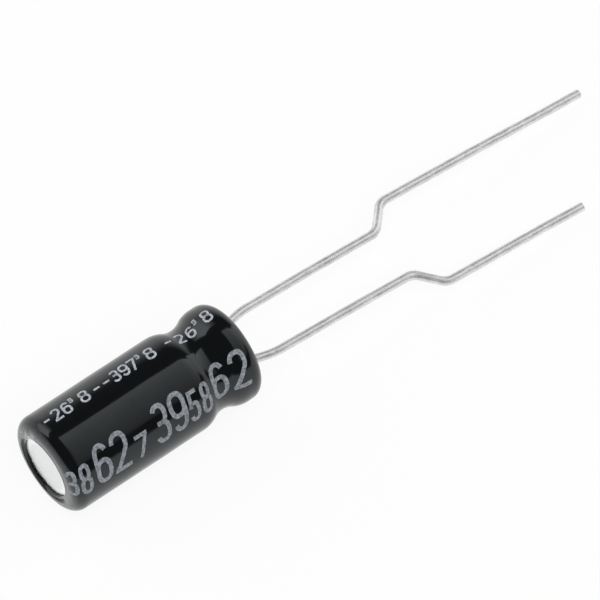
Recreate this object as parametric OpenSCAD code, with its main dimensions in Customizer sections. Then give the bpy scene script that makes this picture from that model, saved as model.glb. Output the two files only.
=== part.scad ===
// Radial aluminium electrolytic capacitor with formed leads, lying on its side as it comes to rest.
// X runs along the can from the closed end to the leads, and Z is up from the surface that it lies on.
// Lengths are in millimetres.

/* [Can and sleeve] */
// Outside diameter of the drawn aluminium can
can_d = 5.0; // [4:0.1:8]
// Length over the sleeve, from the closed end to the folded lead end
total_l = 11.45; // [9:0.05:20]
// Thickness of the can's wall
can_wall = 0.25; // [0.15:0.01:0.35]
// Thickness of the shrunk sleeve
sleeve_t = 0.11; // [0.05:0.01:0.2]
// Outside corner radius of the sleeve at the closed end
corner_r = 0.65; // [0.55:0.05:1]
// Outside radius of the curled rim at the lead end
rim_r = 0.7; // [0.6:0.05:1]
// Diameter of the window that the sleeve leaves in the closed end
window_d = 3.15; // [2.4:0.05:3.6]
// Width of the flat ring that the curled rim lays over the seal
rim_fold = 0.07; // [0.04:0.01:0.3]

/* [Groove] */
// Depth of the rolled groove
groove_depth = 0.35; // [0.15:0.01:0.45]
// Distance from the lead end to the middle of the groove
groove_back = 2.3; // [2:0.05:3]
// Radius of the sleeve's surface in the bottom of the groove
groove_r = 1.3; // [0.8:0.1:1.6]
// Radius of the sleeve's surface on the groove's shoulders
shoulder_r = 1.5; // [1:0.1:1.8]

/* [Seal] */
// Height of the rubber seal under the curled rim
seal_h = 2.6; // [2:0.1:3.2]
// Height of the seal's raised middle in the rim's opening
seal_boss_h = 0.16; // [0.05:0.01:0.2]
// Running clearance between the rubber and the metal that it seals
seat_gap = 0.01; // [0.005:0.005:0.02]

/* [Leads] */
// Distance between the leads where they leave the seal
lead_pitch = 2.1; // [1.9:0.05:2.2]
// Diameter of the tinned wire
wire_d = 0.45; // [0.4:0.05:0.5]
// Distance from the lead end of the can at which the leads start to flare
flare_gap = 0.1; // [0.05:0.05:0.4]
// Length of the flare along the can's axis
flare_l = 1.35; // [1:0.05:2]
// Centre line radius of the bends at both ends of the flare
flare_bend_r = 1.6; // [1:0.1:2]
// Distance between the leads at the end of the flare
flare_pitch = 2.68; // [2.3:0.02:3.2]
// Distance between the leads just before the kinks
straight_pitch = 2.9; // [2.5:0.02:3.4]
// Distance between the leads just after the kinks
formed_pitch = 5.4; // [4.6:0.1:6]
// Distance from the lead end of the can to the middle of the kinks
kink_reach = 10.45; // [6:0.05:14]
// Length of each kink along the can's axis, between its two bends
kink_l = 1.2; // [0.8:0.05:2]
// Centre line radius of the kinks' bends
kink_bend_r = 0.62; // [0.4:0.02:0.9]
// Reach of the positive lead from the lead end of the can
positive_reach = 23.5; // [18:0.1:30]
// Reach of the negative lead from the lead end of the can
negative_reach = 19.4; // [16:0.1:26]
// How far the positive lead's tip leans in towards the axis
positive_lean = 0.16; // [0:0.02:0.4]
// How far the negative lead's tip leans out from the axis
negative_lean = 0.2; // [0:0.02:0.4]
// Turn of the can about its axis, which sets the positive lead higher than the negative one
roll_deg = 10.4; // [0:0.1:14]

/* [Lead tabs] */
// Diameter of the tab's round stem in the seal
stem_d = 0.8; // [0.6:0.05:0.9]
// Thickness of the tab's flattened foot
tab_t = 0.15; // [0.1:0.01:0.2]
// Angle of the winding that the foot covers
tab_arc = 66; // [50:2:80]
// Length of the foot inside the winding
tab_l = 5.0; // [3:0.1:6]
// Height of the weld between the stem and the wire
weld_h = 0.22; // [0.15:0.01:0.3]

/* [Winding] */
// Radius of the hollow that the winding pin leaves
core_r = 0.45; // [0.4:0.01:0.55]
// Thickness of the etched anode foil
anode_t = 0.08; // [0.06:0.01:0.12]
// Thickness of the cathode foil
cathode_t = 0.03; // [0.02:0.01:0.05]
// Thickness of one separator paper
paper_t = 0.03; // [0.02:0.01:0.05]
// Clearance between neighbouring layers
layer_gap = 0.005; // [0.005:0.001:0.01]
// Width of both foils
foil_w = 6.0; // [4:0.1:6.2]
// Width of both papers
paper_w = 7.0; // [6.8:0.1:7.2]
// Thickness of the tape that closes the winding
tape_t = 0.05; // [0.03:0.01:0.08]
// Width of the tape
tape_w = 5.0; // [3:0.1:6]
// Clearance between the taped winding and the can
winding_gap = 0.08; // [0.05:0.01:0.15]

/* [Hidden] */
$fn = 96;
arc_steps = 14;

body_r = can_d / 2 + seat_gap + sleeve_t;
rim_open_r = body_r - rim_r - rim_fold;
wire_r = wire_d / 2;
stem_r = stem_d / 2;
bend_loss = wire_d / 50;
bend_lap = wire_d / 10;

// Depths below the sleeve's outer face at which each shell's face lies
can_out = sleeve_t + seat_gap;
can_in = can_out + can_wall;
seal_out = can_in + seat_gap;

// The groove's profile is a hollow arc between two round shoulders that meet it in line
groove_z = total_l - groove_back;
blend = groove_r + shoulder_r;
blend_deg = acos((blend - groove_depth) / blend);
groove_half = blend * sin(blend_deg);

// Each layer's place in one turn, counted outwards from the anode foil
turn_t = anode_t + cathode_t + 2 * paper_t + 4 * layer_gap;
half_t = turn_t / 2;
inner_paper_at = anode_t + layer_gap;
cathode_at = inner_paper_at + paper_t + layer_gap;
outer_paper_at = cathode_at + cathode_t + layer_gap;

// A foot opens the winding by its own thickness. The anode's foot lies in an even half turn
// and the cathode's in the odd one before it, where the turns pass the two stems.
foot_space = tab_t + layer_gap;
anode_foot_turn = max(2, 2 * round((lead_pitch / 2 - tab_t - core_r) / turn_t));
cathode_foot_turn = anode_foot_turn - 1;
winding_r = body_r - can_in - winding_gap - tape_t;
paper_edge = core_r + outer_paper_at + paper_t + 2 * foot_space;
half_turns = floor((winding_r - layer_gap - paper_edge) / half_t) - 1;
tape_r = paper_edge + (half_turns + 1) * half_t + layer_gap;

// Levels along the can, from the closed end. The papers stand on the round of the cup's inner corner.
inner_corner_r = corner_r - can_in;
corner_reach = max(0, tape_r - (body_r - corner_r));
paper_z = corner_r - sqrt(inner_corner_r ^ 2 - corner_reach ^ 2) + layer_gap;
paper_top = paper_z + paper_w;
foil_z = paper_z + (paper_w - foil_w) / 2;
seal_top = total_l - seal_out;
seal_z = seal_top - seal_h;
weld_z = seal_top - weld_h;
wedge_z = paper_top + layer_gap;

function arc(c, r, from, to) =
    [for (i = [0:arc_steps]) let (a = from + (to - from) * i / arc_steps) c + r * [cos(a), sin(a)]];

// Points of the body's outline at a depth below the sleeve's face, from the closed end to the lead end
function outline(depth) = concat(
    arc([body_r - corner_r, corner_r], corner_r - depth, -90, 0),
    arc([body_r - shoulder_r, groove_z - groove_half], shoulder_r - depth, 0, blend_deg),
    arc([body_r - groove_depth + groove_r, groove_z], groove_r + depth, 180 + blend_deg, 180 - blend_deg),
    arc([body_r - shoulder_r, groove_z + groove_half], shoulder_r - depth, -blend_deg, 0),
    arc([body_r - rim_r, total_l - rim_r], rim_r - depth, 0, 90)
);

function reversed(points) = [for (i = [len(points) - 1:-1:0]) points[i]];

// Lays the upright can down along X on the surface
module lying() {
    translate([-(total_l + positive_reach) / 2, 0, body_r]) rotate([0, 90, 0]) children();
}

// Lays a piece down and turns it to the leads' plane
module rolled() {
    lying() rotate([0, 0, roll_deg]) children();
}

// The black heat-shrunk sleeve, folded in over both ends
module sleeve() {
    color("#17181a") rolled() rotate_extrude() polygon(concat(
        [[window_d / 2, 0]], outline(0), [[rim_open_r - sleeve_t, total_l]],
        [[rim_open_r - sleeve_t, total_l - sleeve_t]], reversed(outline(sleeve_t)),
        [[window_d / 2, sleeve_t]]
    ));
}

// The drawn cup, with its rolled groove and the rim curled over the seal
module can() {
    color("#d9dadb") rolled() rotate_extrude() polygon(concat(
        [[0, can_out]], outline(can_out), [[rim_open_r, total_l - can_out]],
        [[rim_open_r, total_l - can_in]], reversed(outline(can_in)), [[0, can_in]]
    ));
}

// The rubber seal, waisted by the groove, with one bore for each stem
module rubber_seal() {
    color("#2b2a29") rolled() difference() {
        union() {
            intersection() {
                rotate_extrude() polygon(concat([[0, seal_out]], outline(seal_out), [[0, seal_top]]));
                translate([0, 0, seal_z]) cylinder(r = body_r, h = seal_h);
            }
            translate([0, 0, seal_top - can_wall / 2])
                cylinder(r = rim_open_r - seat_gap, h = can_wall / 2 + seal_boss_h);
        }
        for (side = [-1, 1])
            translate([0, side * lead_pitch / 2, seal_z - can_wall])
                cylinder(r = stem_r + seat_gap, h = seal_h + 2 * can_wall + seal_boss_h);
    }
}

// How far the feet have pushed a layer outwards where it crosses the line between half turns.
// The layers beyond a foot are pushed from the foot's own half turn, and the others one turn later.
function pushed(crossing, past_anode_foot, past_cathode_foot) = foot_space * (
    (crossing >= anode_foot_turn + (past_anode_foot ? 0 : 2) ? 1 : 0)
    + (crossing >= cathode_foot_turn + (past_cathode_foot ? 0 : 2) ? 1 : 0)
);

// Distance from the axis to a layer's inner face at a crossing
function layer_x(place, crossing, past_anode_foot, past_cathode_foot) =
    core_r + place + crossing * half_t + pushed(crossing, past_anode_foot, past_cathode_foot);

// A wound strip: half rings that meet in line, each centred midway between its two crossings
module wound_strip(place, thickness, width, first, last, past_anode_foot, past_cathode_foot) {
    for (i = [first:last]) {
        here = layer_x(place, i, past_anode_foot, past_cathode_foot);
        next = layer_x(place, i + 1, past_anode_foot, past_cathode_foot);
        even = i % 2 == 0;
        translate([(here - next) / 2 * (even ? 1 : -1), 0, 0]) rotate([0, 0, even ? 0 : 180])
            rotate_extrude(angle = 180) translate([(here + next) / 2, 0]) square([thickness, width]);
    }
}

module anode_foil() {
    color("#8d8f92") rolled() translate([0, 0, foil_z])
        wound_strip(0, anode_t, foil_w, 0, half_turns - 1, false, false);
}

module inner_separator() {
    color("#e6dcc4") rolled() translate([0, 0, paper_z])
        wound_strip(inner_paper_at, paper_t, paper_w, -1, half_turns, true, false);
}

module cathode_foil() {
    color("#b9bbbd") rolled() translate([0, 0, foil_z])
        wound_strip(cathode_at, cathode_t, foil_w, 0, half_turns - 1, true, false);
}

module outer_separator() {
    color("#e6dcc4") rolled() translate([0, 0, paper_z])
        wound_strip(outer_paper_at, paper_t, paper_w, -1, half_turns, true, true);
}

module winding_tape() {
    color("#cfd6da") rolled() translate([0, 0, paper_z + (paper_w - tape_w) / 2]) difference() {
        cylinder(r = tape_r + tape_t, h = tape_w);
        translate([0, 0, -tape_t]) cylinder(r = tape_r, h = tape_w + 2 * tape_t);
    }
}

// A lead tab: a round stem in the seal, a wedge that flattens it, and a foot curved with its half turn.
// foot_r is the foot's inner radius and foot_x its centre, on the side of the axis that side names.
module lead_tab(side, foot_r, foot_x) {
    color("#c4c6c8") rolled() {
        translate([0, side * lead_pitch / 2, seal_z - stem_r])
            cylinder(r = stem_r, h = weld_z - seal_z + stem_r);
        translate([0, side * lead_pitch / 2, weld_z])
            cylinder(r1 = stem_r, r2 = wire_r + seat_gap, h = weld_h);
        intersection() {
            translate([0, side * lead_pitch / 2, wedge_z])
                cylinder(r = stem_r, h = seal_z - stem_r - wedge_z);
            scale([1, side, 1]) rotate([90, 0, 90]) translate([0, 0, -stem_r])
                linear_extrude(height = stem_d) polygon([
                    [foot_r, wedge_z], [foot_r + tab_t, wedge_z],
                    [lead_pitch / 2 + stem_r, seal_z - stem_r], [lead_pitch / 2 - stem_r, seal_z - stem_r]
                ]);
        }
        translate([foot_x, 0, paper_top - tab_l]) rotate([0, 0, side * 90 - tab_arc / 2])
            rotate_extrude(angle = tab_arc) translate([foot_r, 0])
                square([tab_t, wedge_z - paper_top + tab_l + stem_r / 2]);
    }
}

module positive_tab() {
    here = layer_x(anode_t, anode_foot_turn, false, false);
    next = layer_x(anode_t, anode_foot_turn + 1, false, false);
    lead_tab(1, (here + next) / 2 + layer_gap, (here - next) / 2);
}

module negative_tab() {
    here = layer_x(cathode_at + cathode_t, cathode_foot_turn, true, false);
    next = layer_x(cathode_at + cathode_t, cathode_foot_turn + 1, true, false);
    lead_tab(-1, (here + next) / 2 + layer_gap, (next - here) / 2);
}

function unit(v) = v / norm(v);

// A round wire through the given points, with a true bend of the given radius at each inner point.
// The bends are drawn a little thinner than the runs, which reach a short way into them.
module bent_wire(points, radii) {
    last = len(points) - 1;
    ways = [for (i = [0:last - 1]) unit(points[i + 1] - points[i])];
    turns = [for (i = [1:last - 1]) acos(ways[i - 1] * ways[i])];
    cuts = concat([0], [for (i = [1:last - 1]) radii[i - 1] * tan(turns[i - 1] / 2)], [0]);
    for (i = [0:last - 1]) {
        before = i == 0 ? 0 : bend_lap;
        after = i == last - 1 ? 0 : bend_lap;
        start = points[i] + ways[i] * (cuts[i] - before);
        run = norm(points[i + 1] - points[i]) - cuts[i] - cuts[i + 1] + before + after;
        side = unit(cross(ways[i], [0.3, -0.5, 0.8]));
        across = cross(ways[i], side);
        multmatrix([for (k = [0:2]) [side[k], across[k], ways[i][k], start[k]]])
            cylinder(r = wire_r, h = run);
    }
    for (i = [1:last - 1]) {
        start = points[i] - ways[i - 1] * cuts[i];
        spin = unit(cross(ways[i - 1], ways[i]));
        out = cross(ways[i - 1], spin);
        centre = start - out * radii[i - 1];
        multmatrix([for (k = [0:2]) [out[k], ways[i - 1][k], spin[k], centre[k]]])
            rotate_extrude(angle = turns[i - 1]) translate([radii[i - 1], 0]) circle(r = wire_r - bend_loss);
    }
}

// A formed lead: out of the seal, a flare, a straight run down to the surface and a kink to the wider pitch.
// The tip touches the surface that the can lies on.
module formed_lead(side, reach, tip_offset) {
    flare_from = total_l + flare_gap;
    kink_z = total_l + kink_reach;
    tip_z = total_l + reach;
    fall = (body_r + side * tip_offset * sin(roll_deg) - wire_r) / (tip_z - flare_from);
    stations = [
        [flare_from + flare_l, flare_pitch / 2], [kink_z - kink_l / 2, straight_pitch / 2],
        [kink_z + kink_l / 2, formed_pitch / 2], [tip_z, tip_offset]
    ];
    start = side * lead_pitch / 2 * [-sin(roll_deg), cos(roll_deg)];
    points = concat(
        [[start[0], start[1], seal_top], [start[0], start[1], flare_from]],
        [for (s = stations) [
            fall * (s[0] - flare_from) - side * s[1] * sin(roll_deg), side * s[1] * cos(roll_deg), s[0]
        ]]
    );
    color("#b4b6b9") lying() bent_wire(points, [flare_bend_r, flare_bend_r, kink_bend_r, kink_bend_r]);
}

module positive_lead() {
    formed_lead(1, positive_reach, formed_pitch / 2 - positive_lean);
}

module negative_lead() {
    formed_lead(-1, negative_reach, formed_pitch / 2 + negative_lean);
}

sleeve();
can();
rubber_seal();
positive_tab();
negative_tab();
positive_lead();
negative_lead();
anode_foil();
inner_separator();
cathode_foil();
outer_separator();
winding_tape();
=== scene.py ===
"""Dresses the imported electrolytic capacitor: a small black-sleeved can on its side, with two leads.

Everything is in metres in the part's own frame: X runs from the closed end to the leads and Z is up
from the floor. Lengths in the values below are in millimetres, and MM turns them into metres.
"""

from functools import cached_property
from math import acos, cos, degrees, pi, radians, sin, tan

import bpy
import numpy as np
from mathutils import Matrix, Vector


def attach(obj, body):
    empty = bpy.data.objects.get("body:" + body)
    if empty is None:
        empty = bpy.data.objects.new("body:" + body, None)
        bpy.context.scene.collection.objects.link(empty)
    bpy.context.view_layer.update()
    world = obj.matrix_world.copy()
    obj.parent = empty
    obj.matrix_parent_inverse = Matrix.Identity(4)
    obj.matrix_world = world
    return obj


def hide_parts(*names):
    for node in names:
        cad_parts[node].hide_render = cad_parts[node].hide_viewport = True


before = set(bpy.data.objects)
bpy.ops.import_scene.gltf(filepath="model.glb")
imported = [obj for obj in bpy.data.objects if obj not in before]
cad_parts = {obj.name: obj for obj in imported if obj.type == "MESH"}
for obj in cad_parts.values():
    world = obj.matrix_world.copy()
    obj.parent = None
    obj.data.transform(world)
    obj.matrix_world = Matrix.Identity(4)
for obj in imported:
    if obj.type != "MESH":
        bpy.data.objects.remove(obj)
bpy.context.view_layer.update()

MM = 0.001

# The can and its sleeve, with the values of the solid model
TOTAL_L = 11.45
BODY_R = 2.62
SLEEVE_T = 0.11
CORNER_R = 0.65
RIM_R = 0.7
RIM_OPEN_R = 1.74
GROOVE_Z = 9.15
GROOVE_DEPTH = 0.35
GROOVE_R = 1.3
SHOULDER_R = 1.5
AXIS_Z = BODY_R

# The leads, with the values of the solid model but slightly rounder bends. A tip leans a little off
# half of the formed pitch
POSITIVE_REACH, POSITIVE_LEAN = 23.5, -0.16
NEGATIVE_REACH, NEGATIVE_LEAN = 19.4, 0.2
WIRE_R = 0.225
SEATED = 0.42
LEAD_PITCH = 2.1
FLARE_GAP = 0.1
FLARE_L = 1.35
FLARE_PITCH = 2.68
STRAIGHT_PITCH = 2.9
FORMED_PITCH = 5.4
KINK_REACH = 10.45
KINK_L = 1.2
KINK_BEND_R = 0.85
FLARE_BEND_R = 4.0
ROLL_DEG = 10.4
CLOSED_X = -(TOTAL_L + POSITIVE_REACH) / 2

# The window in the closed end: the sleeve has shrunk a little further in on one side
WINDOW_R = 1.61
WINDOW_SHIFT = 0.07
WINDOW_SHIFT_DEG = 40.0
LIP_R = SLEEVE_T / 2
LIP_BULGE = 0.018
FOLD_GAP = 0.005

# Round the window's lower half a steep-walled hollow parts the cut edge from the rest of the film
HOLLOW_DEG = 152.5
HOLLOW_DEPTH = 0.098
HOLLOW_FROM_R, HOLLOW_TO_R = 1.66, 1.90
HOLLOW_INNER_W, HOLLOW_OUTER_W = 0.09, 0.07
HOLLOW_REACH_Z = 0.30
HOLLOW_END_COS, HOLLOW_FADE_COS = -0.10, 0.5

# Waves of the window's edge and face and of the folded edge: (height, number round it, start)
WINDOW_WAVES = ((0.010, 3, 0.8), (0.007, 7, 2.1), (0.004, 17, 0.0))
WINDOW_FACE_WAVES = ((0.006, 5, 1.0),)
FOLD_WAVES = ((0.022, 4, 0.3), (0.012, 11, 1.1))
WAVES_REACH = 1.0

# Slow waves of the whole film: (height, turns along the can, number round it, start)
FILM_WAVES = ((0.0030, 1.15, 2, 0.4), (0.0022, 2.3, -3, 1.7))
FINE_H, FINE_ALONG, FINE_ROUND, FINE_FADE, FINE_START = 0.0010, 5.1, 5, 2.2, 0.5
RIPPLE_FROM_R, RIPPLE_FADE = 1.9, 0.4

# How many points each stretch of the sleeve's outline has, and how many go round
CORNER_STEPS, BARREL_STEPS, SHOULDER_STEPS, GROOVE_STEPS = 14, 20, 9, 16
FACE_STEPS, BACK_STEPS, LIP_STEPS, EDGE_STEPS = 26, 3, 11, 9
SLEEVE_FINE, PRINT_FINE = 2, 8
SLEEVE_AROUND = 240
SLEEVE_SHARP_DEG, PRINT_SHARP_DEG, WIRE_SHARP_DEG = 60, 40, 40


# Meshes

def grid_faces(grid, ring_closed, first=0):
    """Faces through a grid of points grid[i, j], closed round j, with their front outwards.

    With ring_closed the last row meets the first one, and otherwise each end row gets a flat cap. The
    faces are turned over where the volume inside them comes out negative. first is the number of the
    grid's first point in its piece.
    """
    rows, across, _ = grid.shape
    i, j = np.meshgrid(np.arange(rows if ring_closed else rows - 1), np.arange(across), indexing="ij")
    row, next_row, next_j = i * across, (i + 1) % rows * across, (j + 1) % across
    quads = np.stack([row + j, row + next_j, next_row + next_j, next_row + j], axis=-1).reshape(-1, 4)
    start, end = np.arange(across), np.arange((rows - 1) * across, rows * across)
    caps = [] if ring_closed else [start[::-1], end]
    points = grid.reshape(-1, 3) - grid.reshape(-1, 3).mean(axis=0)
    a, b, c, d = (points[quads[:, k]] for k in range(4))
    if np.einsum("ij,ij->i", a, np.cross(b, c) + np.cross(c, d)).sum() < 0:
        quads, caps = quads[:, ::-1], [cap[::-1] for cap in caps]
    return (quads + first).tolist() + [(cap + first).tolist() for cap in caps]


def new_piece(name, points, faces, sharp_deg):
    """A smooth piece through points in millimetres, creased where it turns by more than an angle."""
    mesh = bpy.data.meshes.new(name)
    mesh.from_pydata(points * MM, [], faces)
    mesh.validate()
    mesh.shade_smooth()
    mesh.set_sharp_from_angle(angle=radians(sharp_deg))
    piece = bpy.data.objects.new(name, mesh)
    bpy.context.scene.collection.objects.link(piece)
    return piece


def eased(share):
    """A share held between 0 and 1 and eased: its square, times three less twice the share."""
    share = np.clip(share, 0, 1)
    return share * share * (3 - 2 * share)


# The body's outline

def arc_points(centre, radius, start_deg, end_deg, steps):
    """Points (r, z) on an arc: the centre plus the radius times an even angle's cosine and sine."""
    angle = np.radians(np.linspace(start_deg, end_deg, steps))
    return np.stack([centre[0] + radius * np.cos(angle), centre[1] + radius * np.sin(angle)], axis=1)


def straight_points(start, end, steps):
    """Points spaced evenly between two others, without the two themselves."""
    share = np.linspace(0, 1, steps + 2)[1:-1, None]
    return np.array(start) * (1 - share) + np.array(end) * share


BLEND = GROOVE_R + SHOULDER_R
BLEND_DEG = degrees(acos((BLEND - GROOVE_DEPTH) / BLEND))
GROOVE_HALF = BLEND * sin(radians(BLEND_DEG))


def outline(depth, fine):
    """The body's outline (r, z) at a depth below the sleeve's face, from the corner to the folded rim.

    It is the corner's quarter circle, the straight barrel, the groove's hollow arc between two shoulder
    arcs that meet it in line, a short straight stretch and the rim's quarter circle.
    """
    corner = arc_points((BODY_R - CORNER_R, CORNER_R), CORNER_R - depth, -90, 0, CORNER_STEPS * fine)
    low = arc_points((BODY_R - SHOULDER_R, GROOVE_Z - GROOVE_HALF), SHOULDER_R - depth,
                     0, BLEND_DEG, SHOULDER_STEPS * fine)
    hollow = arc_points((BODY_R - GROOVE_DEPTH + GROOVE_R, GROOVE_Z), GROOVE_R + depth,
                        180 + BLEND_DEG, 180 - BLEND_DEG, GROOVE_STEPS * fine)
    high = arc_points((BODY_R - SHOULDER_R, GROOVE_Z + GROOVE_HALF), SHOULDER_R - depth,
                      -BLEND_DEG, 0, SHOULDER_STEPS * fine)
    rim = arc_points((BODY_R - RIM_R, TOTAL_L - RIM_R), RIM_R - depth, 0, 90, CORNER_STEPS * fine)
    barrel = straight_points(corner[-1], low[0], BARREL_STEPS * fine)
    if np.allclose(high[-1], rim[0]):
        rim = rim[1:]
    return np.concatenate([corner, barrel, low, hollow[1:-1], high, rim])


def ripple(z, angle):
    """How far the shrunk sleeve stands out: slow sine waves along and round the can, and a fine one."""
    slow = sum(height * np.sin(along * z + number * angle + start)
               for height, along, number, start in FILM_WAVES)
    fine = FINE_H * np.sin(FINE_ALONG * z + FINE_ROUND * angle) * np.sin(FINE_FADE * z + FINE_START)
    return slow + fine


def edge_waves(waves, angle):
    """The sum of sine waves round an edge."""
    return sum(height * np.sin(number * angle + start) for height, number, start in waves)


def at_body(r, z, angle):
    """World millimetres at a distance r from the axis and z from the closed end.

    The angle is counted from the top towards +Y.
    """
    return np.stack([CLOSED_X + z, r * np.sin(angle), AXIS_Z + r * np.cos(angle)], axis=-1)


def sleeve_piece():
    """The sleeve: its outline carried round the axis, with a rounded, uneven cut edge at each end.

    The edge of the window is a circle about a point a little off the axis, with small waves, and stands
    slightly proud. The slow ripples are added to the distance from the axis.
    """
    lip = arc_points((WINDOW_R + LIP_R, LIP_R), LIP_R, 90, 270, LIP_STEPS)
    lip[:, 1] -= LIP_BULGE * (lip[:, 1] < LIP_R)
    face = straight_points((WINDOW_R + LIP_R, 0), (BODY_R - CORNER_R, 0), FACE_STEPS)
    outer = outline(0, SLEEVE_FINE)
    fold_r = RIM_OPEN_R + LIP_R
    back = straight_points((BODY_R - RIM_R, TOTAL_L), (fold_r + FOLD_GAP, TOTAL_L), BACK_STEPS)
    edge = arc_points((fold_r, TOTAL_L - LIP_R), LIP_R, 90, 270, EDGE_STEPS)
    inner = outline(SLEEVE_T, 1)[::-1]
    loop = np.concatenate([lip, face, outer, back, edge, inner])
    angle = np.linspace(0, 2 * pi, SLEEVE_AROUND, endpoint=False)
    r, z = (np.repeat(loop[:, k, None], SLEEVE_AROUND, axis=1) for k in range(2))
    a = np.repeat(angle[None, :], len(loop), axis=0)

    # The window's shift and waves fade out towards the corner
    near_window = np.clip((BODY_R - CORNER_R - r) / (BODY_R - CORNER_R - WINDOW_R), 0, 1)
    near_window = near_window * (z < WAVES_REACH)
    shift = WINDOW_SHIFT * np.cos(a - radians(WINDOW_SHIFT_DEG))
    r = r + near_window * (shift + edge_waves(WINDOW_WAVES, a))
    z = z - near_window ** 2 * edge_waves(WINDOW_FACE_WAVES, a) * (z < LIP_R)

    # The hollow has a steep outer wall and a gentler inner one, and only the film's outside follows it
    lower = eased((np.cos(a - radians(HOLLOW_DEG)) - HOLLOW_END_COS) / HOLLOW_FADE_COS)
    lower = lower * np.clip(1 - z / HOLLOW_REACH_Z, 0, 1)
    lower[-len(inner):] = 0
    walls = eased((HOLLOW_TO_R - r) / HOLLOW_OUTER_W) * eased((r - HOLLOW_FROM_R) / HOLLOW_INNER_W)
    z = z + lower * HOLLOW_DEPTH * walls

    # The folded edge at the lead end is uneven too
    near_fold = np.clip((BODY_R - RIM_R - r) / (BODY_R - RIM_R - RIM_OPEN_R), 0, 1)
    near_fold = near_fold * (z > TOTAL_L - WAVES_REACH)
    r = r + near_fold * edge_waves(FOLD_WAVES, a)
    r = r + ripple(z, a) * np.clip((r - RIPPLE_FROM_R) / RIPPLE_FADE, 0, 1)
    grid = at_body(r, z, a)
    return new_piece("shrunk_sleeve", grid.reshape(-1, 3), grid_faces(grid, True), SLEEVE_SHARP_DEG)


# Printed numbers

SLANT = 0.10
INK_OVER, INK_UNDER = 0.006, 0.006
INK_ACROSS = 5
BOWL_STEP_DEG, BOWL_LEAST, BAR_POINTS = 7, 8, 24
SQUARENESS = 2.5
LARGE_STROKE, SMALL_STROKE = 0.235, 0.118
LARGE, MIDDLE, LOW, SMALL, RAISED, DASH_T = 2.08, 1.66, 1.30, 0.86, 0.40, 0.11

# Plain numbers: (figure, middle along the can, height, width, raise, share of the stroke)
SIDE_MARKS = (
    ("3", -0.02, MIDDLE, 0.66, 0, 0.86), ("8", 0.76, MIDDLE, 0.68, 0, 0.86),
    ("6", 1.86, LARGE, 0.94, 0, 1), ("2", 2.93, LARGE, 0.96, 0, 1),
    ("7", 4.11, LOW, 0.74, 0, 0.84), ("3", 5.42, LARGE, 0.90, 0, 1),
    ("9", 6.46, LARGE, 0.96, 0, 1), ("5", 7.32, MIDDLE, 0.62, 0, 0.86),
    ("8", 8.08, MIDDLE, 0.66, 0, 0.86), ("6", 9.12, LARGE, 0.94, 0, 1),
    ("2", 10.22, LARGE, 0.96, 0, 1),
)
TOP_MARKS = (
    ("-", 0.80, DASH_T, 0.32, 0.34, 1), ("2", 1.40, SMALL, 0.48, 0, 1),
    ("6", 2.00, SMALL, 0.50, 0, 1), ("3", 2.42, RAISED, 0.26, 0.52, 0.75),
    ("8", 3.06, SMALL, 0.54, 0, 1), ("-", 3.80, DASH_T, 0.36, 0.34, 1),
    ("-", 4.38, DASH_T, 0.36, 0.34, 1), ("3", 4.94, SMALL, 0.46, 0, 1),
    ("9", 5.48, SMALL, 0.50, 0, 1), ("7", 6.02, SMALL, 0.48, 0, 1),
    ("3", 6.44, RAISED, 0.26, 0.52, 0.75), ("8", 7.02, SMALL, 0.54, 0, 1),
    ("-", 8.10, DASH_T, 0.36, 0.34, 1), ("2", 8.77, SMALL, 0.48, 0, 1),
    ("6", 9.42, SMALL, 0.50, 0, 1), ("3", 9.86, RAISED, 0.26, 0.52, 0.75),
    ("8", 10.46, SMALL, 0.54, 0, 1),
)

# Where each row's baseline lies round the can, and by how much it turns in a millimetre along it
SIDE_BASE_DEG, SIDE_TURN_DEG = -80.9, 0.45
TOP_BASE_DEG, TOP_TURN_DEG = 9.6, 0.1

OUTLINE = outline(0, PRINT_FINE)
OUTLINE_S = np.concatenate([[0], np.cumsum(np.hypot(*np.diff(OUTLINE, axis=0).T))])
BARREL_S = float(np.interp(CORNER_R, OUTLINE[:, 1], OUTLINE_S))


def along_outline(z):
    """Distance along the outline for a distance z along the can, which runs on round the corner."""
    if z > CORNER_R:
        return float(np.interp(z, OUTLINE[:, 1], OUTLINE_S))
    return BARREL_S - (CORNER_R - z)


def bowl(middle, half_wide, half_high, start_deg, end_deg):
    """Centre line of a round part of a figure.

    A point goes round a squarish oval, whose cosine and sine are each raised to two divided by the
    squareness, with their sign kept.
    """
    steps = max(BOWL_LEAST, int(abs(end_deg - start_deg) / BOWL_STEP_DEG))
    angle = np.radians(np.linspace(start_deg, end_deg, steps))
    power = 2 / SQUARENESS
    c, s = np.cos(angle), np.sin(angle)
    return np.stack([middle[0] + half_wide * np.sign(c) * np.abs(c) ** power,
                     middle[1] + half_high * np.sign(s) * np.abs(s) ** power], axis=1)


def bar(start, end):
    """Centre line of a straight part of a figure."""
    return np.linspace(start, end, BAR_POINTS)


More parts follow.
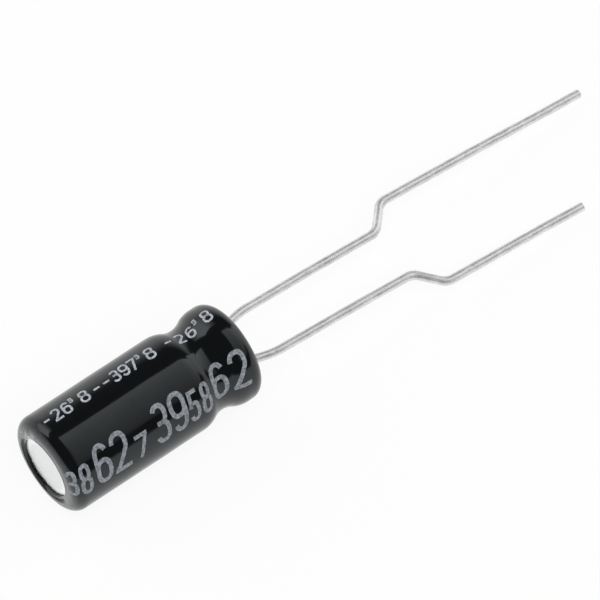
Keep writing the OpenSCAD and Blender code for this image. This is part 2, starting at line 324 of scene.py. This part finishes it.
def figure_lines(figure, w, h, t):
    """Centre lines of a plain figure w wide and h high with strokes t thick, as (points, closed).

    The baseline is y = 0. The shares of w, h and t are each figure's own drawing.
    """
    left, right, low, high = t / 2, w - t / 2, t / 2, h - t / 2
    half, mid = w / 2, h / 2
    waist = h * 0.53
    if figure == "2":
        top = bowl((half, high - h * 0.235), half - t / 2, h * 0.235, 172, -30)
        return [(np.concatenate([top, bar(top[-1], (left, low))[1:]]), False),
                (bar((0, low), (w, low)), False)]
    if figure == "3":
        top = bowl((half, (high + waist) / 2), half - t * 0.62, (high - waist) / 2, 155, -90)
        foot = bowl((half, (waist + low) / 2), half - t / 2, (waist - low) / 2, 90, -160)
        return [(top, False), (foot, False), (bar((half - t, waist), (half + t * 0.2, waist)), False)]
    if figure == "5":
        foot = bowl((half - t * 0.1, h * 0.335), half - t * 0.4, h * 0.335 - t / 2, 140, -158)
        return [(bar((left + t * 0.1, high), (w * 0.94, high)), False), (foot, False),
                (bar((left + t * 0.35, h), (left + t * 0.02, h * 0.46)), False)]
    if figure == "6":
        ring = bowl((half, h * 0.32), half - t / 2, h * 0.32 - t / 2, 0, 360)[:-1]
        back = bowl((half, mid), half - t / 2, mid - t / 2, 38, 190)
        return [(ring, True), (back, False)]
    if figure == "7":
        return [(bar((0, high), (w, high)), False),
                (bar((right - t * 0.1, high), (w * 0.28, 0)), False)]
    if figure == "8":
        top = bowl((half, (high + waist) / 2), half - t * 0.66, (high - waist) / 2, 0, 360)[:-1]
        foot = bowl((half, (waist + low) / 2), half - t / 2, (waist - low) / 2, 0, 360)[:-1]
        return [(top, True), (foot, True)]
    if figure == "9":
        return [(np.array([w, h]) - points, closed) for points, closed in figure_lines("6", w, h, t)]
    return [(bar((0, h / 2), (w, h / 2)), False)]


def wrapped(s, up, lift, base):
    """World millimetres of printed points.

    s runs along the outline, up goes round the can from the base angle, and lift is off the face.
    """
    r, z = (np.interp(s, OUTLINE_S, OUTLINE[:, k]) for k in range(2))
    slope_r, slope_z = (np.interp(s, OUTLINE_S, np.gradient(OUTLINE[:, k], OUTLINE_S))
                        for k in range(2))
    angle = base + up / BODY_R
    return at_body(r + ripple(z, angle) + lift * slope_z, z - lift * slope_r, angle)


def stroke_way(line, closed):
    """The unit direction at each point of a centre line."""
    if closed:
        around = np.concatenate([line[-1:], line, line[:1]])
        way = around[2:] - around[:-2]
    else:
        step = np.linalg.norm(np.diff(line, axis=0), axis=1)
        way = np.gradient(line, np.concatenate([[0], np.cumsum(step)]), axis=0)
    return way / np.linalg.norm(way, axis=1)[:, None]


def printed_line(name, marks, stroke, base_deg, turn_deg):
    """A row of thin printed figures on the sleeve.

    Each stroke is a flat bar section, with a top that lies just over the face and a bottom just under
    it, carried along its centre line. The flat figure's x then runs along the outline's length and its
    y round the can from the baseline.
    """
    points, faces, count = [], [], 0
    top = np.linspace(-0.5, 0.5, INK_ACROSS)
    section = np.concatenate([np.stack([top, np.full(INK_ACROSS, INK_OVER)], 1),
                              np.stack([top[::-1], np.full(INK_ACROSS, -INK_UNDER)], 1)])
    for figure, z_middle, height, width, rise, share in marks:
        thick = stroke * share
        base = radians(base_deg + turn_deg * z_middle)
        for line, closed in figure_lines(figure, width, height, thick):
            way = stroke_way(line, closed)
            normal = np.stack([-way[:, 1], way[:, 0]], axis=1)
            flat = line[:, None, :] + normal[:, None, :] * (section[:, 0] * thick)[None, :, None]
            leaning = SLANT * (flat[..., 1] - height / 2)
            s = along_outline(z_middle) + flat[..., 0] - width / 2 + leaning
            grid = wrapped(s, flat[..., 1] + rise, np.broadcast_to(section[:, 1], s.shape), base)
            faces += grid_faces(grid, closed, count)
            points.append(grid.reshape(-1, 3))
            count += s.size
    return new_piece(name, np.concatenate(points), faces, PRINT_SHARP_DEG)


# Leads

WIRE_AROUND = 40
WIRE_STEP = 0.055
BEND_STEPS = 15
TIP_STEPS = (0.05, 0.02, 0.008, 0)
TIP_SHARES = (0.985, 0.93)
WIRE_WAVES = ((0.010, 3.1), (0.007, 1.3), (0.006, 0.61))
GRIP_REACH, GRIP_WIDER, GRIP_THINNER = 0.33, 0.07, 0.08
NICKS, NICKS_FROM, NICKS_END = 26, 1.5, 0.5
NICK_DEPTH, NICK_L, NICK_WIDE = (0.006, 0.02), (0.05, 0.22), (0.25, 0.6)
SWAY, SWAY_L, SWAY_FROM, SWAY_RISE, SWAY_FALL = 0.012, 1.9, 2, 3, 2


def unit(v):
    """A vector's direction, with a length of one."""
    return np.asarray(v) / np.linalg.norm(v)


def lead_route(side, reach, tip_offset):
    """Points of a lead's centre line, and its corners.

    Each corner has a distance along the can and one from the middle plane, and from the flare on the
    wire falls evenly to the floor. An inner corner becomes an arc that meets both of its straight runs
    in line.
    """
    roll = radians(ROLL_DEG)
    flare_from = TOTAL_L + FLARE_GAP
    kink_z = TOTAL_L + KINK_REACH
    fall = (BODY_R + side * tip_offset * sin(roll) - WIRE_R) / (TOTAL_L + reach - flare_from)
    stations = [(TOTAL_L - SEATED, LEAD_PITCH / 2), (flare_from, LEAD_PITCH / 2),
                (flare_from + FLARE_L, FLARE_PITCH / 2), (kink_z - KINK_L / 2, STRAIGHT_PITCH / 2),
                (kink_z + KINK_L / 2, FORMED_PITCH / 2), (TOTAL_L + reach, tip_offset)]
    corners = [np.array([CLOSED_X + z, side * off * cos(roll),
                         AXIS_Z - fall * max(0.0, z - flare_from) + side * off * sin(roll)])
               for z, off in stations]
    route = [corners[0]]
    for k, radius in enumerate((FLARE_BEND_R, FLARE_BEND_R, KINK_BEND_R, KINK_BEND_R), start=1):
        into, away = unit(corners[k] - corners[k - 1]), unit(corners[k + 1] - corners[k])
        turn = acos(into @ away)
        start = corners[k] - into * radius * tan(turn / 2)
        inward = unit(away - (away @ into) * into)
        angle = np.linspace(0, turn, BEND_STEPS)[:, None]
        route.extend(start + inward * radius * (1 - np.cos(angle)) + into * radius * np.sin(angle))
    route.append(corners[-1])
    return np.array(route), corners


def lead_piece(name, side, reach, tip_offset, seed):
    """A lead: a round section carried along its route, a little flattened where it was formed.

    The section's radius is the wire's own, times one plus small waves along the wire and a flattening
    that is greatest at the kinks, less a few small nicks. The far end is cut square, with the least
    round to its edge, and the wire sways very slightly.
    """
    route, corners = lead_route(side, reach, tip_offset)
    length = np.concatenate([[0], np.cumsum(np.linalg.norm(np.diff(route, axis=0), axis=1))])
    whole = length[-1]
    s = np.unique(np.concatenate([np.arange(0, whole - TIP_STEPS[0], WIRE_STEP),
                                  whole - np.array(TIP_STEPS)]))
    centre = np.stack([np.interp(s, length, route[:, k]) for k in range(3)], axis=1)
    way = np.gradient(centre, s, axis=0)
    way /= np.linalg.norm(way, axis=1)[:, None]
    plane_up = np.array([0, -sin(radians(ROLL_DEG)), cos(radians(ROLL_DEG))])
    across = np.cross(plane_up, way)
    across /= np.linalg.norm(across, axis=1)[:, None]
    up = np.cross(way, across)

    rng = np.random.default_rng(seed)
    around = np.linspace(0, 2 * pi, WIRE_AROUND, endpoint=False)
    grip = np.zeros_like(s)
    for corner in corners[3:5]:
        near = s[np.argmin(np.linalg.norm(centre - corner, axis=1))]
        grip += np.exp(-((s - near) / GRIP_REACH) ** 2)
    wave = sum(height * np.sin(2 * pi * s / period + rng.uniform(0, 6))
               for height, period in WIRE_WAVES)
    wide = WIRE_R * (1 + wave + GRIP_WIDER * grip)
    thick = WIRE_R * (1 + wave - GRIP_THINNER * grip)

    nick = np.zeros((len(s), WIRE_AROUND))
    for _ in range(NICKS):
        at, facing = rng.uniform(NICKS_FROM, whole - NICKS_END), rng.uniform(0, 2 * pi)
        depth, long, broad = (rng.uniform(*span) for span in (NICK_DEPTH, NICK_L, NICK_WIDE))
        turn = (around - facing + pi) % (2 * pi) - pi
        nick += depth * np.exp(-((s - at) / long) ** 2)[:, None] * np.exp(-(turn / broad) ** 2)[None, :]

    tip = np.ones_like(s)
    tip[-2:] = TIP_SHARES
    x = (wide[:, None] - nick) * np.cos(around) * tip[:, None]
    y = (thick[:, None] - nick) * np.sin(around) * tip[:, None]
    sway = SWAY * np.sin(s / SWAY_L + seed) * np.clip((s - SWAY_FROM) / SWAY_RISE, 0, 1)
    sway = sway * np.clip((whole - s) / SWAY_FALL, 0, 1)
    middle = (centre + across * sway[:, None])[:, None, :]
    grid = middle + x[..., None] * across[:, None, :] + y[..., None] * up[:, None, :]
    return new_piece(name, grid.reshape(-1, 3), grid_faces(grid, False), WIRE_SHARP_DEG)


# Materials

class Maker:
    """Adds and joins the nodes of one material."""

    def __init__(self, name):
        self.material = bpy.data.materials.new(name)
        self.material.use_nodes = True
        self.tree = self.material.node_tree
        self.shader = self.tree.nodes["Principled BSDF"]
        self.output = self.tree.nodes["Material Output"]

    def add(self, kind, **settings):
        node = self.tree.nodes.new(kind)
        for key, value in settings.items():
            setattr(node, key, value)
        return node

    def join(self, value, into):
        """Joins an output to a socket, or sets the socket to a number or a colour."""
        if isinstance(value, tuple):
            into.default_value = (*value, 1)
        elif isinstance(value, (int, float)):
            into.default_value = value
        else:
            self.tree.links.new(value, into)

    @cached_property
    def place(self):
        """The Object coordinates."""
        return self.add("ShaderNodeTexCoord").outputs["Object"]

    def mapped(self, scale=(1, 1, 1), shift=(0, 0, 0)):
        """The Object coordinates, scaled and moved."""
        node = self.add("ShaderNodeMapping")
        node.inputs["Scale"].default_value = scale
        node.inputs["Location"].default_value = shift
        self.join(self.place, node.inputs["Vector"])
        return node.outputs["Vector"]

    def parts(self, vector):
        """The x, y and z outputs of a vector."""
        node = self.add("ShaderNodeSeparateXYZ")
        self.join(vector, node.inputs[0])
        return tuple(node.outputs)

    def noise(self, scale, detail=4.0, rough=0.55, vector=None):
        """Soft noise with about so many grains to a metre."""
        node = self.add("ShaderNodeTexNoise")
        node.inputs["Scale"].default_value = scale
        node.inputs["Detail"].default_value = detail
        node.inputs["Roughness"].default_value = rough
        self.join(self.place if vector is None else vector, node.inputs["Vector"])
        return node.outputs["Fac"]

    def drawn(self, scale, detail=4.0, rough=0.6):
        """Noise with its own number of grains to a metre on each axis, so that it runs in lines."""
        return self.noise(1, detail, rough, vector=self.mapped(scale=scale))

    def ranged(self, value, given, wanted=(0.0, 1.0), smooth=False):
        """A value moved from the given range to the wanted one and held inside it."""
        node = self.add("ShaderNodeMapRange", interpolation_type="SMOOTHSTEP" if smooth else "LINEAR")
        for key, number in zip(("From Min", "From Max", "To Min", "To Max"), (*given, *wanted)):
            node.inputs[key].default_value = number
        self.join(value, node.inputs["Value"])
        return node.outputs["Result"]

    def blended(self, share, first, second):
        """A colour between two others."""
        node = self.add("ShaderNodeMix", data_type="RGBA")
        self.join(first, node.inputs["A"])
        self.join(second, node.inputs["B"])
        self.join(share, node.inputs["Factor"])
        return node.outputs["Result"]

    def worked(self, operation, a, b):
        node = self.add("ShaderNodeMath", operation=operation)
        self.join(a, node.inputs[0])
        self.join(b, node.inputs[1])
        return node.outputs[0]

    def plus(self, a, b):
        return self.worked("ADD", a, b)

    def times(self, a, b):
        return self.worked("MULTIPLY", a, b)

    @cached_property
    def round_axis(self):
        """x, y and z from the can's axis, and the distance from it: the root of y and z squared."""
        x, y, z = self.parts(self.mapped(shift=(0, 0, -AXIS_Z * MM)))
        return x, y, z, self.worked("POWER", self.plus(self.times(y, y), self.times(z, z)), 0.5)

    def facing(self, deg):
        """The cosine of the angle between a point's place round the axis and a given one."""
        _, y, z, from_axis = self.round_axis
        part = self.plus(self.times(y, sin(radians(deg))), self.times(z, cos(radians(deg))))
        return self.worked("DIVIDE", part, from_axis)

    def bump(self, height, distance, strength):
        """Fine relief, with its greatest height in millimetres."""
        node = self.add("ShaderNodeBump")
        node.inputs["Strength"].default_value = strength
        node.inputs["Distance"].default_value = distance * MM
        self.join(height, node.inputs["Height"])
        self.join(node.outputs["Normal"], self.shader.inputs["Normal"])

    def finished(self, colour, roughness, **values):
        """Sets the shader's colour, roughness and even values, and gives the material."""
        self.join(colour, self.shader.inputs["Base Color"])
        self.join(roughness, self.shader.inputs["Roughness"])
        for key, value in values.items():
            self.shader.inputs[key.replace("_", " ")].default_value = value
        return self.material


# The angle round the axis where pale marks are painted on the film's upper edge as highlights, where
# the lip catches the light
PAINTED_HIGHLIGHT_DEG = 44.0


def sleeve_film():
    """Glossy black shrink film: near black, with faint cloudiness and a very slight orange peel.

    Where the film has drawn in over the closed end it is greyer and duller, most of all at its cut
    edge. It is darker on the side away from the hollow, and black inside it, which is painted shade in
    the recess. A few pale marks at the upper edge are painted highlights, where the lip catches the
    light.
    """
    black, cloudy = (0.0014, 0.0020, 0.0023), (0.0028, 0.0036, 0.0040)
    grey, pale = (0.300, 0.300, 0.297), (0.62, 0.63, 0.64)
    m = Maker("sleeve_film")
    x, _, _, from_axis = m.round_axis
    to_hollow = m.facing(HOLLOW_DEG)
    drawn_in = m.times(m.ranged(from_axis, (1.65 * MM, 2.45 * MM), (1.0, 0.0)),
                       m.ranged(x, ((CLOSED_X + 0.30) * MM, (CLOSED_X + 0.45) * MM), (1.0, 0.0)))
    inside_edge = m.ranged(from_axis, (HOLLOW_TO_R * MM, (HOLLOW_TO_R + 0.04) * MM), (1.0, 0.0))
    # Mask of the hollow on the window's lower side. The grey is taken out inside it, and the black left
    # there is painted shade in the recess
    painted_hollow_shade = m.times(inside_edge, m.ranged(to_hollow, (-0.05, 0.3)))
    dull = m.times(drawn_in, m.ranged(m.noise(3800, detail=3, rough=0.6), (0.3, 0.7), (0.65, 1.0)))
    dull = m.times(dull, m.ranged(to_hollow, (-0.6, 0.2), (0.68, 1.0)))
    # Inside the hollow the grey falls to almost nothing: painted shade
    dull = m.times(dull, m.ranged(painted_hollow_shade, (0.0, 1.0), (1.0, 0.03)))
    # Pale marks near the window's upper edge: painted highlights where the lip catches the light
    painted_lip_highlight = m.times(m.ranged(m.noise(2600, detail=3, rough=0.7), (0.48, 0.54)),
                      m.ranged(m.facing(PAINTED_HIGHLIGHT_DEG), (0.84, 0.95)))
    painted_lip_highlight = m.times(painted_lip_highlight, m.worked("POWER", drawn_in, 2.0))
    film_colour = m.blended(m.noise(420, detail=3), black, cloudy)
    gloss = m.ranged(m.noise(2400, rough=0.6), (0.35, 0.7), (0.085, 0.125))
    m.bump(m.noise(5200, detail=3, rough=0.5), distance=0.0012, strength=0.35)
    return m.finished(m.blended(painted_lip_highlight, m.blended(dull, film_colour, grey), pale),
                      m.plus(gloss, m.times(dull, 0.25)),
                      Metallic=0.0, IOR=1.5, Specular_Tint=(0.90, 0.97, 1.0, 1))


def print_ink(name, dark, light):
    """Blue-grey printing ink: matt, and thinner in small specks, where the black shows through."""
    m = Maker(name)
    specks = m.ranged(m.noise(9000, detail=3, rough=0.7), (0.40, 0.60))
    m.bump(m.noise(14000, detail=3, rough=0.6), distance=0.003, strength=0.4)
    return m.finished(m.blended(specks, dark, light),
                      m.ranged(m.noise(5000, detail=2), (0.3, 0.7), (0.38, 0.55)),
                      Metallic=0.0, IOR=1.45)


def drawn_aluminium():
    """The cup's aluminium: satin, with fine speckle, faint drawing marks and a painted edge highlight.
    """
    dark, light, highlight_white = (0.76, 0.765, 0.77), (0.85, 0.85, 0.85), (0.97, 0.97, 0.97)
    m = Maker("drawn_aluminium")
    grain = m.noise(7000, detail=5, rough=0.65)
    uneven = m.plus(grain, m.drawn((900, 9000, 1600)))
    # A lighter colour in a ring just inside the window's edge is a painted highlight, where the disc's
    # edge catches the light
    shift = m.times(m.facing(WINDOW_SHIFT_DEG), WINDOW_SHIFT * MM)
    from_window = m.worked("SUBTRACT", m.round_axis[3], shift)
    edge_highlight = m.ranged(from_window, ((WINDOW_R - 0.42) * MM, (WINDOW_R - 0.22) * MM))
    m.bump(uneven, distance=0.002, strength=0.25)
    return m.finished(m.blended(edge_highlight, m.blended(grain, dark, light), highlight_white),
                      m.ranged(uneven, (0.7, 1.3), (0.22, 0.40)), Metallic=1.0)


def seal_rubber():
    """Dark moulded rubber with a fine matt grain and a few pale specks."""
    m = Maker("seal_rubber")
    grain = m.noise(6000, detail=6, rough=0.7)
    specks = m.ranged(m.noise(16000, detail=2, rough=0.6), (0.66, 0.74))
    m.bump(grain, distance=0.014, strength=0.5)
    return m.finished(m.blended(specks, (0.030, 0.029, 0.028), (0.085, 0.082, 0.078)),
                      m.ranged(grain, (0.3, 0.7), (0.62, 0.85)), Metallic=0.0, IOR=1.45)


def tinned_wire():
    """Dull tinned wire: grey metal with grain drawn along the wire, cloudy patches and small pits."""
    m = Maker("tinned_wire")
    grain = m.drawn((900, 9000, 9000), detail=5, rough=0.65)
    patches = m.noise(1300, detail=5, rough=0.65)
    pits = m.ranged(m.noise(12000, detail=3, rough=0.6), (0.60, 0.70))
    uneven = m.plus(patches, grain)
    relief = m.plus(m.plus(grain, m.times(patches, 0.8)), m.times(pits, -0.5))
    m.bump(relief, distance=0.016, strength=0.6)
    return m.finished(m.blended(m.ranged(uneven, (0.7, 1.3)), (0.58, 0.58, 0.59), (0.90, 0.90, 0.89)),
                      m.ranged(uneven, (0.7, 1.3), (0.28, 0.46)), Metallic=0.72)


def tab_metal():
    """Bare aluminium of the tabs, with drawing lines along the stem."""
    m = Maker("tab_metal")
    lines = m.drawn((500, 8000, 8000))
    m.bump(lines, distance=0.008, strength=0.4)
    return m.finished(m.blended(lines, (0.66, 0.665, 0.67), (0.82, 0.82, 0.82)),
                      m.ranged(lines, (0.3, 0.7), (0.28, 0.46)), Metallic=1.0)


def etched_foil(name, dark, light, rough):
    """Foil etched to a fine sponge: a dull grey metal that glitters a little."""
    m = Maker(name)
    pores = m.noise(22000, rough=0.7)
    m.bump(pores, distance=0.006, strength=0.5)
    return m.finished(m.blended(pores, dark, light),
                      m.ranged(pores, (0.3, 0.7), (rough, rough + 0.2)), Metallic=1.0)


def separator_paper():
    """Soaked fibre paper: cream, with long fibres that cross each other."""
    m = Maker("separator_paper")
    fibre = m.times(m.drawn((1200, 14000, 14000), rough=0.7), m.drawn((14000, 2500, 2500), rough=0.7))
    m.bump(fibre, distance=0.010, strength=0.5)
    return m.finished(m.blended(m.ranged(fibre, (0.15, 0.35)), (0.60, 0.53, 0.40), (0.83, 0.77, 0.64)),
                      m.ranged(fibre, (0.1, 0.4), (0.6, 0.85)), Metallic=0.0, IOR=1.45)


def winding_tape_film():
    """Thin milky tape with faint stretch lines round the winding."""
    m = Maker("winding_tape_film")
    lines = m.drawn((9000, 1500, 1500), detail=3)
    m.bump(lines, distance=0.004, strength=0.3)
    return m.finished(m.blended(lines, (0.60, 0.64, 0.66), (0.76, 0.79, 0.80)),
                      m.ranged(lines, (0.3, 0.7), (0.20, 0.34)), Metallic=0.0, IOR=1.5)


def dress(piece, material):
    """Gives a piece its material, and a new piece also its body."""
    piece.data.materials.clear()
    piece.data.materials.append(material)
    if piece.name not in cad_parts:
        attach(piece, "root")


# The camera that the photograph was taken with, worked out from the can's ends

CAMERA_MM = (-156.06, -196.61, 380.96)
CAMERA_RIGHT = (0.7871, -0.6169, 0.0)
CAMERA_UP = (0.5147, 0.6568, 0.5512)
CAMERA_BACK = (-0.34, -0.4339, 0.8344)
LENS_MM = 562.1
SENSOR_MM = 36.0
CLIP_START_M, CLIP_END_M = 0.02, 20

camera_data = bpy.data.cameras.new("camera")
camera_data.lens = LENS_MM
camera_data.sensor_width = SENSOR_MM
camera_data.clip_start = CLIP_START_M
camera_data.clip_end = CLIP_END_M
camera = bpy.data.objects.new("camera", camera_data)
bpy.context.scene.collection.objects.link(camera)
camera_turn = Matrix((CAMERA_RIGHT, CAMERA_UP, CAMERA_BACK)).transposed()
camera.matrix_world = Matrix.Translation(Vector(CAMERA_MM) * MM) @ camera_turn.to_4x4()
bpy.context.scene.camera = camera

# The pieces

POSITIVE_SEED, NEGATIVE_SEED = 5, 11

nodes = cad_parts
tin = tinned_wire()
tab = tab_metal()
paper = separator_paper()

sleeve = sleeve_piece()
dress(sleeve, sleeve_film())
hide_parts("sleeve")

positive = lead_piece("formed_positive_lead", 1, POSITIVE_REACH, FORMED_PITCH / 2 + POSITIVE_LEAN,
                      POSITIVE_SEED)
negative = lead_piece("formed_negative_lead", -1, NEGATIVE_REACH, FORMED_PITCH / 2 + NEGATIVE_LEAN,
                      NEGATIVE_SEED)
for piece, node in ((positive, "positive_lead"), (negative, "negative_lead")):
    dress(piece, tin)
    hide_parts(node)

large_numbers = printed_line("printed_numbers_large", SIDE_MARKS, LARGE_STROKE,
                             SIDE_BASE_DEG, SIDE_TURN_DEG)
small_numbers = printed_line("printed_numbers_small", TOP_MARKS, SMALL_STROKE,
                             TOP_BASE_DEG, TOP_TURN_DEG)
# The same ink twice: the copy on the top row is lighter than the one on the side, a painted difference
# of light between the two rows
dress(large_numbers, print_ink("ink_on_side", (0.12, 0.135, 0.15), (0.31, 0.335, 0.365)))
dress(small_numbers, print_ink("ink_on_top", (0.26, 0.28, 0.32), (0.56, 0.60, 0.66)))

anode = etched_foil("anode_foil_etched", (0.30, 0.30, 0.31), (0.48, 0.48, 0.49), 0.55)
cathode = etched_foil("cathode_foil_etched", (0.52, 0.52, 0.53), (0.68, 0.68, 0.68), 0.40)
dress(nodes["can"], drawn_aluminium())
dress(nodes["rubber_seal"], seal_rubber())
dress(nodes["positive_tab"], tab)
dress(nodes["negative_tab"], tab)
dress(nodes["anode_foil"], anode)
dress(nodes["cathode_foil"], cathode)
dress(nodes["inner_separator"], paper)
dress(nodes["outer_separator"], paper)
dress(nodes["winding_tape"], winding_tape_film())

# The studio, in metres

FLOOR_HALF = 3.0
FLOOR_COLOUR = (0.90, 0.90, 0.90)
SEEN_SHARE, MIRRORED_SHARE = 0.90, 0.95
ROOM_LEVEL = 0.085
OVER_FLOOR = 0.001

# The wide soft box above the camera's side: a flat card that faces the part
BOX_DISTANCE = 1.0
BOX_FROM_DEG, BOX_TO_DEG = 12.5, -61.0
BOX_X = (0.275, 1.6)

# A white card stands across its far end and reaches a little past its upper edge
CARD_Y, CARD_Z = 0.48, 1.16

# A second box stands behind the closed end, where only the can's rounded ends mirror it
BACK_BOX_R = 1.1
BACK_BOX_X, BACK_BOX_DEG = (-0.95, 0.30), (34.0, 72.0)

WALL_R, WALL_H, WALL_SIDES = 1.7, 1.5, 96
LAMP_PLACE, LAMP_SIZE, LAMP_POWER = (-0.25, -0.55, 1.05), 0.9, 11.0


def stage_piece(name, points, faces, material):
    """A plain piece of the studio, through points in metres."""
    mesh = bpy.data.meshes.new(name)
    mesh.from_pydata(points, [], faces)
    mesh.materials.append(material)
    piece = bpy.data.objects.new(name, mesh)
    bpy.context.scene.collection.objects.link(piece)


def floor_material():
    """Pale and matt. The camera sees mostly an even white, and the rest keeps the object's shadow."""
    m = Maker("floor_white")
    m.tree.nodes.remove(m.shader)
    matt, even, mix, path = (m.add(kind) for kind in (
        "ShaderNodeBsdfDiffuse", "ShaderNodeEmission", "ShaderNodeMixShader", "ShaderNodeLightPath"))
    m.join(FLOOR_COLOUR, matt.inputs["Color"])
    m.join(1.0, even.inputs["Strength"])
    mirrored = m.worked("MAXIMUM", path.outputs["Is Glossy Ray"], path.outputs["Is Transmission Ray"])
    seen = m.times(path.outputs["Is Camera Ray"], SEEN_SHARE)
    m.join(m.plus(seen, m.times(mirrored, MIRRORED_SHARE)), mix.inputs["Fac"])
    m.join(matt.outputs[0], mix.inputs[1])
    m.join(even.outputs[0], mix.inputs[2])
    m.join(mix.outputs[0], m.output.inputs["Surface"])
    return m.material


def glow_material(name, strength):
    """A glowing card. strength(m) gives its strength from its own Object coordinates."""
    m = Maker(name)
    m.tree.nodes.remove(m.shader)
    glow = m.add("ShaderNodeEmission")
    m.join(strength(m), glow.inputs["Strength"])
    m.join(glow.outputs[0], m.output.inputs["Surface"])
    return m.material


def soft_box_strength(m):
    """Brightest at the edge over the part, dimmer towards the camera's side, and rising along X."""
    x, y, _ = m.parts(m.place)
    return m.times(m.ranged(y, (-1.15, 0.40), (0.28, 1.28)), m.ranged(x, (0.3, 1.2), (1.0, 1.5)))


def end_card_strength(m):
    """White, and dimmer towards the camera's side."""
    _, y, _ = m.parts(m.place)
    return m.ranged(y, (-1.15, 0.40), (0.8, 1.35))


def back_box_strength(m):
    """A slight rise towards its upper edge, and a soft fall towards the leads' end."""
    x, _, z = m.parts(m.place)
    return m.times(m.ranged(z, (0.3, 0.95), (1.5, 2.0)),
                   m.ranged(x, (-0.35, 0.30), (1.0, 0.2), smooth=True))


def wall_strength(m):
    """White at the floor, and dimmer upwards: slowly behind the part and fast on the camera's side."""
    _, y, z = m.parts(m.place)
    reach = m.ranged(y, (-WALL_R, WALL_R), (0.16, 1.35))
    return m.ranged(m.worked("DIVIDE", z, reach), (0.0, 1.0), (1.0, ROOM_LEVEL), smooth=True)


box_middle = radians((BOX_FROM_DEG + BOX_TO_DEG) / 2)
box_half = BOX_DISTANCE * tan(radians(BOX_FROM_DEG - BOX_TO_DEG) / 2)
box_y, box_z = BOX_DISTANCE * sin(box_middle), BOX_DISTANCE * cos(box_middle)
side_y, side_z = box_half * cos(box_middle), -box_half * sin(box_middle)
near_edge, far_edge = (box_y - side_y, box_z - side_z), (box_y + side_y, box_z + side_z)
stage_piece("studio_soft_box", [(BOX_X[0], *near_edge), (BOX_X[0], *far_edge),
                                (BOX_X[1], *far_edge), (BOX_X[1], *near_edge)],
            [(0, 1, 2, 3)], glow_material("soft_box_glow", soft_box_strength))

stage_piece("studio_end_card", [(BOX_X[1], *near_edge), (BOX_X[1], *far_edge),
                                (BOX_X[1], CARD_Y, CARD_Z), (BOX_X[1], CARD_Y, OVER_FLOOR),
                                (BOX_X[1], near_edge[0], OVER_FLOOR)],
            [(0, 1, 2, 3, 4)], glow_material("end_card_glow", end_card_strength))

upper_edge, lower_edge = [(BACK_BOX_R * sin(radians(deg)), BACK_BOX_R * cos(radians(deg)))
                          for deg in BACK_BOX_DEG]
stage_piece("studio_back_box", [(BACK_BOX_X[0], *upper_edge), (BACK_BOX_X[0], *lower_edge),
                                (BACK_BOX_X[1], *lower_edge), (BACK_BOX_X[1], *upper_edge)],
            [(0, 1, 2, 3)], glow_material("back_box_glow", back_box_strength))

wall_angles = np.linspace(0, 2 * pi, WALL_SIDES, endpoint=False)
wall_points = [(WALL_R * cos(t), WALL_R * sin(t), z) for z in (0, WALL_H) for t in wall_angles]
wall_faces = [(k, (k + 1) % WALL_SIDES, WALL_SIDES + (k + 1) % WALL_SIDES, WALL_SIDES + k)
              for k in range(WALL_SIDES)]
stage_piece("studio_wall", wall_points, wall_faces, glow_material("wall_glow", wall_strength))

stage_piece("studio_floor", [(-FLOOR_HALF, -FLOOR_HALF, 0), (FLOOR_HALF, -FLOOR_HALF, 0),
                             (FLOOR_HALF, FLOOR_HALF, 0), (-FLOOR_HALF, FLOOR_HALF, 0)],
            [(0, 1, 2, 3)], floor_material())

world = bpy.data.worlds.new("studio")
world.use_nodes = True
world.node_tree.nodes["Background"].inputs["Color"].default_value = (1, 1, 1, 1)
world.node_tree.nodes["Background"].inputs["Strength"].default_value = ROOM_LEVEL
bpy.context.scene.world = world

# A square soft lamp that faces the part. Nothing mirrors it
lamp_data = bpy.data.lights.new("key_lamp", "AREA")
lamp_data.shape = "SQUARE"
lamp_data.size = LAMP_SIZE
lamp_data.energy = LAMP_POWER
lamp = bpy.data.objects.new("key_lamp", lamp_data)
bpy.context.scene.collection.objects.link(lamp)
lamp.location = LAMP_PLACE
lamp.rotation_euler = (-Vector(LAMP_PLACE)).to_track_quat("-Z", "Y").to_euler()
lamp.visible_glossy = False
lamp.visible_camera = False

view = bpy.context.scene.view_settings
view.view_transform = "Standard"
